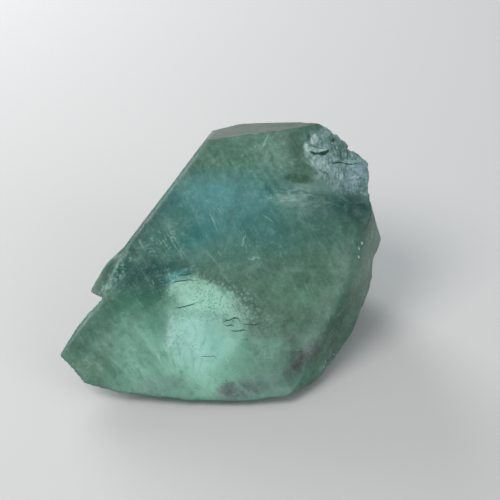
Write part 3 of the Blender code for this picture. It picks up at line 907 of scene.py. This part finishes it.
def fluoriteMaterial():
    material = bpy.data.materials.new("fluorite")
    material.use_nodes = True
    tree = material.node_tree
    tree.nodes.clear()
    place = facePlaces(tree)
    warp = (texture(place, fluorite["warpScale"], 5.0, 0.6) - 0.5) * fluorite["warp"]
    grain = {name: texture(place, **settings) for name, settings in grains.items()}
    grain["fan"] = fanStreaks(place)
    area = {name: zone(place, *size, warp) for name, size in areas.items()}
    edgeBand = pastBand(place, fluorite["leftEdgeOut"], *fluorite["leftEdgeBand"])
    area["left edge"] = edgeBand * area["left edge"]
    area["top edge"] = pastBand(place, topFacet["out"], *fluorite["topEdgeBand"])
    mark = {}
    for name in ("onTop", "chipped", "worn", "crack", "gap", "scratch", "glint"):
        mark[name] = Wire.add(tree, "ShaderNodeAttribute", {"attribute_name": name}, output="Fac")

    colour = zonedColour(place, warp, shades["body"], shades["zones"])
    colour = insideMarkings(colour, grain, area)
    colour = faceMarkings(colour, place, grain, area)
    # painted light and shade on the top facet
    colour = lay(colour, "top facet shade", mark["onTop"])
    chipColour = zonedColour(place, warp, shades["chip"], shades["chipZones"])
    chipColour = chipMarkings(chipColour, grain, area)
    colour = colour.tint(chipColour, mark["chipped"].ramp(0.0, 0.7) * 0.95)
    worn = mark["worn"] * (1 - area["left edge"])
    for name, share in fluorite["spared"].items():
        worn = worn * (1 - area[name] * share)
    colour = lay(colour, "worn edge", worn)
    colour = lay(colour, "scratch", mark["scratch"])
    colour = lay(colour, "gap", mark["gap"].ramp(0.0, 0.7))
    colour = lay(colour, "crack", mark["crack"].ramp(0.1, 0.9))
    colour = lay(colour, "glint", mark["glint"].ramp(0.0, 0.8))

    dull = grain["dull"].ramp(0.3, 0.7, *fluorite["dull"])
    dull = dull + mark["chipped"] * fluorite["dullChip"] + mark["worn"] * fluorite["dullWorn"]
    dull = dull + mark["onTop"] * fluorite["dullTop"] + area["left edge"] * fluorite["dullLeftEdge"]
    relief = grain["mottle"] * 0.6 + grain["brush"] * 0.6 + grain["dust"]
    relief = relief + grain["grit"] * mark["chipped"] * 1.5
    bump = Wire.add(tree, "ShaderNodeBump", {}, {
        "Strength": fluorite["bumpStrength"],
        "Distance": fluorite["bumpHeight"],
        "Height": relief,
    })
    shader = Wire.add(tree, "ShaderNodeBsdfPrincipled", {}, {
        "Base Color": colour,
        "Roughness": dull,
        "IOR": fluorite["ior"],
        "Transmission Weight": fluorite["transmission"],
        "Normal": bump,
    })
    absorb = Wire.add(tree, "ShaderNodeVolumeAbsorption", {}, {
        "Color": fluorite["absorbColour"],
        "Density": fluorite["absorbDensity"],
    })
    Wire.add(tree, "ShaderNodeOutputMaterial", {}, {"Surface": shader, "Volume": absorb})
    print("fluorite:", len(shades["zones"]) + len(shades["chipZones"]), "colour zones,", len(coats), "coats")
    return material


studio = {
    "lens": 85.0,
    "sensor": 36.0,
    "clipStart": 0.01,
    "target": Vector((2.482, -3.033, 11.746)),    # mm
    "elevation": math.radians(38.0),
    "distance": 118.06,
    "floorHalf": 1.5,                             # metres
    "floorColour": (0.42, 0.415, 0.405, 1.0),
    "floorDull": 0.75,
    "worldColour": (0.86, 0.93, 1.0, 1.0),
    "worldStrength": 0.60,
    "lamps": [
        # place in mm, size in mm, power in watts, colour
        ("keyLamp", Vector((-160, -90, 260)), 180, 0.74, (1.0, 0.98, 0.95)),
        ("backLamp", Vector((-120, 230, 120)), 160, 0.75, (0.95, 0.98, 1.0)),
        ("fillLamp", Vector((240, -160, 150)), 220, 0.26, (0.93, 0.97, 1.0)),
    ],
}


def plainMaterial(name, colour, dull):
    material = bpy.data.materials.new(name)
    material.use_nodes = True
    shader = material.node_tree.nodes["Principled BSDF"]
    shader.inputs["Base Color"].default_value = colour
    shader.inputs["Roughness"].default_value = dull
    return material


def buildStudio():
    work = bmesh.new()
    bmesh.ops.create_grid(work, x_segments=1, y_segments=1, size=studio["floorHalf"])
    sheet = bpy.data.meshes.new("floor")
    work.to_mesh(sheet)
    work.free()
    floor = bpy.data.objects.new("floor", sheet)
    bpy.context.scene.collection.objects.link(floor)
    sheet.materials.append(plainMaterial("paleFloor", studio["floorColour"], studio["floorDull"]))
    floor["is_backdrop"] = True

    world = bpy.data.worlds.new("softRoom")
    world.use_nodes = True
    sky = world.node_tree.nodes["Background"]
    sky.inputs["Color"].default_value = studio["worldColour"]
    sky.inputs["Strength"].default_value = studio["worldStrength"]
    bpy.context.scene.world = world

    target = studio["target"] * face["mm"]
    for name, place, size, power, colour in studio["lamps"]:
        light = bpy.data.lights.new(name, "AREA")
        light.shape = "DISK"
        light.size = size * face["mm"]
        light.energy = power
        light.color = colour
        lamp = bpy.data.objects.new(name, light)
        lamp.location = place * face["mm"]
        lamp.rotation_euler = (target - lamp.location).to_track_quat("-Z", "Y").to_euler()
        bpy.context.scene.collection.objects.link(lamp)

    back = Vector((0.0, -math.cos(studio["elevation"]), math.sin(studio["elevation"])))
    lens = bpy.data.cameras.new("photoView")
    lens.lens = studio["lens"]
    lens.sensor_width = studio["sensor"]
    lens.clip_start = studio["clipStart"]
    camera = bpy.data.objects.new("photoView", lens)
    camera.location = target + back * studio["distance"] * face["mm"]
    camera.rotation_euler = (-back).to_track_quat("-Z", "Y").to_euler()
    bpy.context.scene.collection.objects.link(camera)
    bpy.context.scene.camera = camera
    bpy.context.scene.view_settings.view_transform = "Standard"
    print("studio:", len(studio["lamps"]), "lamps")


piece = buildStone()
piece.data.materials.clear()
piece.data.materials.append(fluoriteMaterial())
buildStudio()

low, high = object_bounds()
past = [max(a - b, c - d) / face["mm"] for a, b, c, d in zip(cadLow, low, high, cadHigh)]
print("size past the CAD box, mm:", [round(gap, 4) for gap in past])
